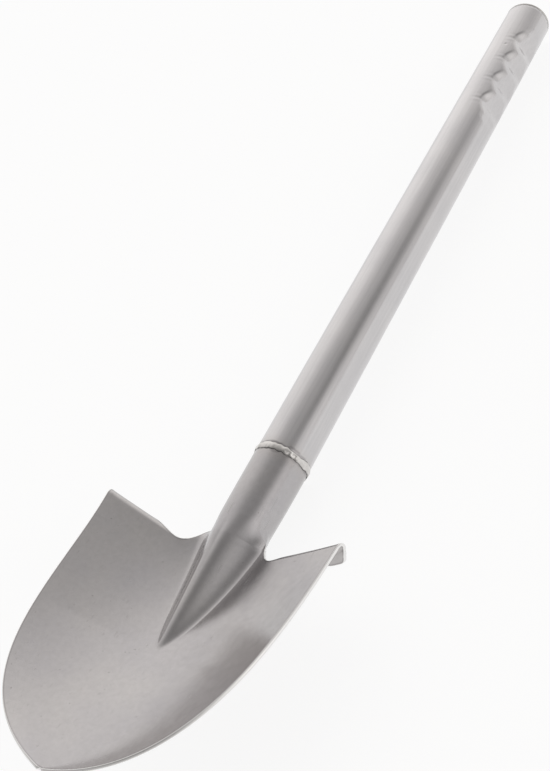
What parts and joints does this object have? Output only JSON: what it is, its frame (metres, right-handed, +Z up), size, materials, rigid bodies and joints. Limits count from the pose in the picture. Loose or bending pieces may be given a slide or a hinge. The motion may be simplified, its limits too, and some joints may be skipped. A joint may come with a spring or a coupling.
{
  "type": "detecting shovel",
  "caption": "Short all-metal digging shovel: pointed, dished blade with rolled socket, ridge and turned steps, welded to a closed tubular handle with pressed finger dents.",
  "frame": {"origin": "the middle of the length and of the width, at the underside of the joint weld, which is the lowest point", "axes": "+Y along the handle towards its closed end, +Z up, out of the digging face, X across the blade"},
  "size_m": [0.1618, 0.5944, 0.0607],
  "materials": {
    "blade_sheet": "satin pressed sheet, warm grey",
    "handle_tube": "polished tube with a soft sheen",
    "weld_metal": "rippled bright weld bead with darker toes"
  },
  "bodies": {
    "root": {"blade": "blade_sheet", "socket_seam_weld": "weld_metal", "joint_weld": "weld_metal", "handle_tube": "handle_tube", "end_cap": "handle_tube", "end_cap_weld": "weld_metal"}
  },
  "joints": []
}
